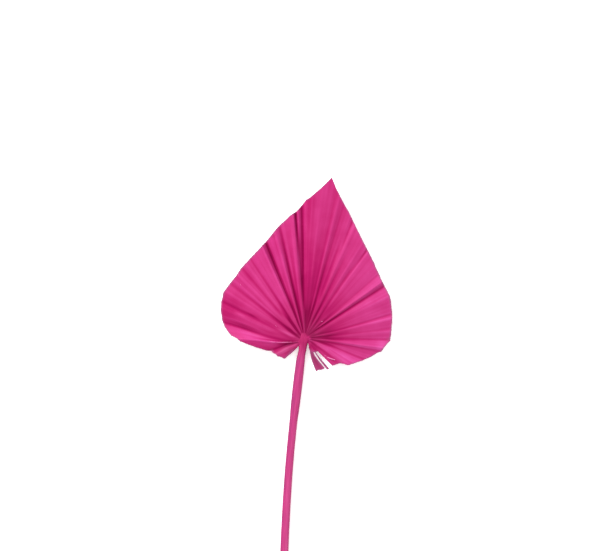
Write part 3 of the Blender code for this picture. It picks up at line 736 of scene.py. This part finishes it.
# At the knuckle it rises, in the same terms.
RISE_DOWN = -0.0015
RISE_REACH = 0.004
RISE = 0.0006
# Its upper end is rounded from here up, over this length.
ROUND_DOWN = -0.0012
ROUND_LENGTH = 0.0032
MOST_ROUNDED = 0.9999  # short of 1, where its thickness would be 0
# Long shallow grooves run along it. They are noise, read on a ring of this radius round the stalk,
# and this far along for each metre down it. The depth is a share of the stalk's thickness.
GROOVE_RING = 4.5
GROOVE_RATE = 14
GROOVE_DEPTH = 0.05
# Under the knuckle is a bulb, an ellipsoid that is cut flat where the leaf rests on it.
BULB_DOWN = 0.0022
BULB_MIDDLE = 0.0036
BULB_HALF_LENGTH = 0.0042
BULB_HALF_WIDTH = 0.0040
BULB_HALF_HEIGHT = 0.0046
BULB_BLEND = 0.0008  # the crease between bulb and stalk is filled where they are this near
BULB_LEAST = 1e-9  # keeps its half sizes, which divide, from being 0 at its ends
# The shoulders that the side lobes spring from: place and reach along the stalk, middle and reach
# round it in degrees, and height.
SHOULDERS = [
    (0.0020, 0.0030, 62, 26, 0.0019), (0.0030, 0.0026, 92, 24, 0.0011),
    (0.0042, 0.0034, -74, 36, 0.0012),
]
STALK_SIDES = 56
STALK_STEP = 0.0006
LAP = 0.00015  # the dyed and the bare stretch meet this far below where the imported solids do
# The line where the dye stops wanders over this many mm in broad tongues, and over this many
# along single fibres. A place is bare where both and its distance down add up to over DYE_LINE.
TONGUES = 26.0
STRANDS = 7.0
DYE_LINE = DYED_LENGTH * 1000 + (TONGUES + STRANDS) / 2
# Its cut face, in mm.
CUT_HALF_WIDTH = 3.58
CUT_HEIGHT = 5.1
CUT_DOWN = STALK_LENGTH * 1000


def stalk_tube(name, start, end):
    """A closed tube with rings enough for the stalk between these distances below the knuckle."""
    rings = round((end - start) / STALK_STEP)
    deselect()
    bpy.ops.mesh.primitive_cylinder_add(vertices=STALK_SIDES, radius=1, depth=2, end_fill_type="NGON")
    made = bpy.context.object
    made.name = made.data.name = name
    bpy.ops.object.mode_set(mode="EDIT")
    bpy.ops.mesh.select_mode(type="EDGE")
    bpy.ops.mesh.select_all(action="DESELECT")
    bpy.ops.object.mode_set(mode="OBJECT")
    for edge in made.data.edges:
        low, high = (made.data.vertices[n].co.z for n in edge.vertices)
        edge.select = abs(high - low) > 1
    bpy.ops.object.mode_set(mode="EDIT")
    bpy.ops.mesh.subdivide(number_cuts=rings - 1)
    bpy.ops.object.mode_set(mode="OBJECT")
    return made


def stalk_line(down):
    """The stalk's middle, this far below the knuckle: how far aside, how high, and its slant there."""
    drift = np.clip((down - DRIFT_START) / (DRIFT_END - DRIFT_START), 0, 1)
    side = STALK_SLANT * down + STALK_BOW * down ** 2 + STALK_DRIFT * drift * drift * (3 - 2 * drift)
    side += NECK_BEND * np.exp(-((down - NECK_DOWN) / NECK_REACH) ** 2)
    end_height = STALK_HALF_HEIGHT * STALK_SWELL[-1][1] * math.cos(math.pi / PACKED_SIDES)
    along = np.clip(down / STALK_LENGTH, 0, 1)
    fall = (along * along * (3 - 2 * along)) ** STALK_FALL
    height = STALK_TOP_HEIGHT + (end_height - STALK_TOP_HEIGHT) * fall
    height += RISE * np.exp(-((down - RISE_DOWN) / RISE_REACH) ** 2)
    return side, height, STALK_SLANT + 2 * STALK_BOW * down


def bulb_reach(down, across, up, height):
    """Where a ray from the stalk's middle, at this height, leaves the bulb, or 0 where it misses."""
    slice_share = 1 - ((down - BULB_DOWN) / BULB_HALF_LENGTH) ** 2
    wide = BULB_HALF_WIDTH * np.sqrt(np.clip(slice_share, 0, 1)) + BULB_LEAST
    tall = BULB_HALF_HEIGHT * np.sqrt(np.clip(slice_share, 0, 1)) + BULB_LEAST
    to_middle = BULB_MIDDLE - height
    # The ray's length solves square * length ** 2 + single * length + rest = 0.
    square = (across / wide) ** 2 + (up / tall) ** 2
    single = -2 * up * to_middle / tall ** 2
    rest = (to_middle / tall) ** 2 - 1
    met = single * single - 4 * square * rest
    out = np.where(met > 0, (-single + np.sqrt(np.maximum(met, 0))) / (2 * square), 0)
    return np.where(slice_share > 0, np.maximum(out, 0), 0)


def groove(turn, down):
    """How far the surface stands out here between grooves, or lies in one as a negative share."""
    return noise.noise(Vector((
        math.sin(turn) * GROOVE_RING, math.cos(turn) * GROOVE_RING, down * GROOVE_RATE)))


def shape_stalk(made, start, end):
    """Moves the tube's rings along the stalk, with its section, grooves, bulb and shoulders."""
    flat = corner_rows(made.data)
    down = start + (end - start) * (1 - flat[:, 2]) / 2
    turn = np.arctan2(flat[:, 0], flat[:, 1])  # clockwise from the top of the section
    across, up = np.sin(turn), np.cos(turn)
    side, height, slant = stalk_line(down)
    rounded = np.clip((ROUND_DOWN - down) / ROUND_LENGTH, 0, MOST_ROUNDED)
    blunt, dome = (1 - rounded ** 2) ** 0.25, (1 - rounded ** 2) ** 0.5
    reach = between(STALK_SWELL, down) / np.sqrt(
        (across / STALK_HALF_WIDTH / blunt) ** 2 + (up / STALK_HALF_HEIGHT / dome) ** 2)
    reach *= 1 + GROOVE_DEPTH * np.array([groove(*place) for place in zip(turn, down)])
    bulb = bulb_reach(down, across, up, height)
    near = np.clip(BULB_BLEND - np.abs(bulb - reach), 0, None) / BULB_BLEND
    reach = np.maximum(bulb, reach) + near * near * BULB_BLEND / 4
    for place, long, at, wide, much in SHOULDERS:
        way = (np.degrees(turn) - at + 180) % 360 - 180
        reach += much * np.exp(-((down - place) / long) ** 2 - (way / wide) ** 2)
    x = across * reach
    z = np.maximum(height + up * reach, 0.0)
    stretch = np.sqrt(1 + slant ** 2)
    move_corners(made.data, np.stack(
        [side + x / stretch + KNUCKLE.x, -down + x * slant / stretch + KNUCKLE.y, z], 1))
    for name, value in (("down", down * 1000), ("round", np.degrees(turn)), ("aside", x * 1000),
                        ("high", z * 1000)):
        write_values(made.data, name, value)


# One stalk, part of it dipped: fibres run its whole length, and carry the dye unevenly past the
# line where the dipping stopped.
stalk_skin, tree = new_material("palm_stalk_dipped_in_dye")
down_mm = attribute(tree, "down")
aside_mm = attribute(tree, "aside")
high_mm = attribute(tree, "high")
round_at = attribute(tree, "round")
fibre_way = node(tree, "CombineXYZ", {
    "X": aside_mm, "Y": maths(tree, "MULTIPLY", down_mm, GRAIN_ALONG), "Z": high_mm}).outputs[0]
fibres = patches(tree, fibre_way, scale=2.2, detail=3.0)
broad = patches(tree, fibre_way, scale=0.7, detail=3.0)

# The dyed stretch: paler further down and deep crimson near the knuckle, with painted shade on its
# sides past the knuckle and on the top of its upper end.
near_hub = remap(tree, down_mm, (22.0, 4.0), interpolation_type="SMOOTHSTEP")
# Painted shade on both sides of the stalk, most on the left, which faces the lamp.
left_side_shade = remap(tree, round_at, (12.0, -63.0), (0.0, -0.30))
right_side_shade = remap(tree, round_at, (50.0, 100.0), (0.0, -0.15))
side_shade = maths(tree, "ADD", left_side_shade, right_side_shade)
dye_and_shade = maths(tree, "MULTIPLY_ADD", side_shade, maths(tree, "SUBTRACT", 1.0, near_hub), fibres)
dye_and_shade = maths(tree, "MULTIPLY_ADD", down_mm, 0.0012, dye_and_shade)
# Painted shade on the top of its upper end, whose slope faces the lamp.
dye_and_shade = maths(tree, "ADD", dye_and_shade, remap(tree, down_mm, (0.5, -4.4), (0.0, -0.24)))
pink = ramp(tree, dye_and_shade, [(0.15, "7A2A55"), (0.4, "9C2D65"), (0.55, "A63369"), (0.8, "B4447B")])
hub_pink = ramp(tree, dye_and_shade, [(0.2, "7A0A40"), (0.5, "941850"), (0.8, "A42660")])
dyed = mixed(tree, near_hub, pink, hub_pink)

# The bare stretch, stained where the dye crept on.
straw = ramp(tree, fibres, [(0.28, "8C6C44"), (0.42, "AE9270"), (0.55, "B89E7E"), (0.72, "C6B092")])
past = maths(tree, "MULTIPLY_ADD", broad, TONGUES, down_mm)
past = maths(tree, "MULTIPLY_ADD", fibres, STRANDS, past)
wicked = remap(tree, past, (DYE_LINE - 0.5, DYE_LINE + 8.5), (0.55, 0.0),
               interpolation_type="SMOOTHSTEP")
stained = mixed(tree, wicked, straw, linear("B45F7C"))
skin = mixed(tree, remap(tree, past, (DYE_LINE - 1.5, DYE_LINE + 1.0)), dyed, stained)

# The cut end: pith dotted with the dark ends of the fibre bundles, inside a thin hard rind.
section = node(tree, "CombineXYZ", {
    "X": maths(tree, "DIVIDE", aside_mm, CUT_HALF_WIDTH),
    "Y": remap(tree, high_mm, (0.0, CUT_HEIGHT), (-1.0, 1.0), clamp=False)}).outputs[0]
from_middle = node(tree, "VectorMath", {0: section}, operation="LENGTH").outputs["Value"]
pith = ramp(tree, from_middle, [(0.0, "C4AC84"), (0.78, "BCA27A"), (0.88, "8E6E44"), (1.0, "7C5E38")])
bundles = node(tree, "TexVoronoi", {"Vector": fibre_way, "Scale": 1.9}).outputs["Distance"]
dotted = mixed(tree, remap(tree, bundles, (0.16, 0.30), (0.8, 0.0)), pith, linear("5E4224"))
cut_face = remap(tree, down_mm, (CUT_DOWN - 0.1, CUT_DOWN - 0.01))
finish_material(tree, {
    "Base Color": mixed(tree, cut_face, skin, dotted), "Roughness": 0.6, "Specular IOR Level": 0.1,
    "Normal": bump(tree, fibres, strength=0.4, distance=0.00015)})

for name, start, end, replaced, slot in (
        ("dyed_stalk", STALK_SWELL[0][0], DYED_LENGTH + LAP, "dyed_leaf", "dyed_palm"),
        ("bare_stalk", DYED_LENGTH + LAP, STALK_LENGTH, "bare_stalk_end", "bare_palm")):
    piece = stalk_tube(name, start, end)
    shape_stalk(piece, start, end)
    smooth(piece, degrees=40)
    piece.data.materials.append(stalk_skin)
    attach(piece, "root")
    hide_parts(replaced)
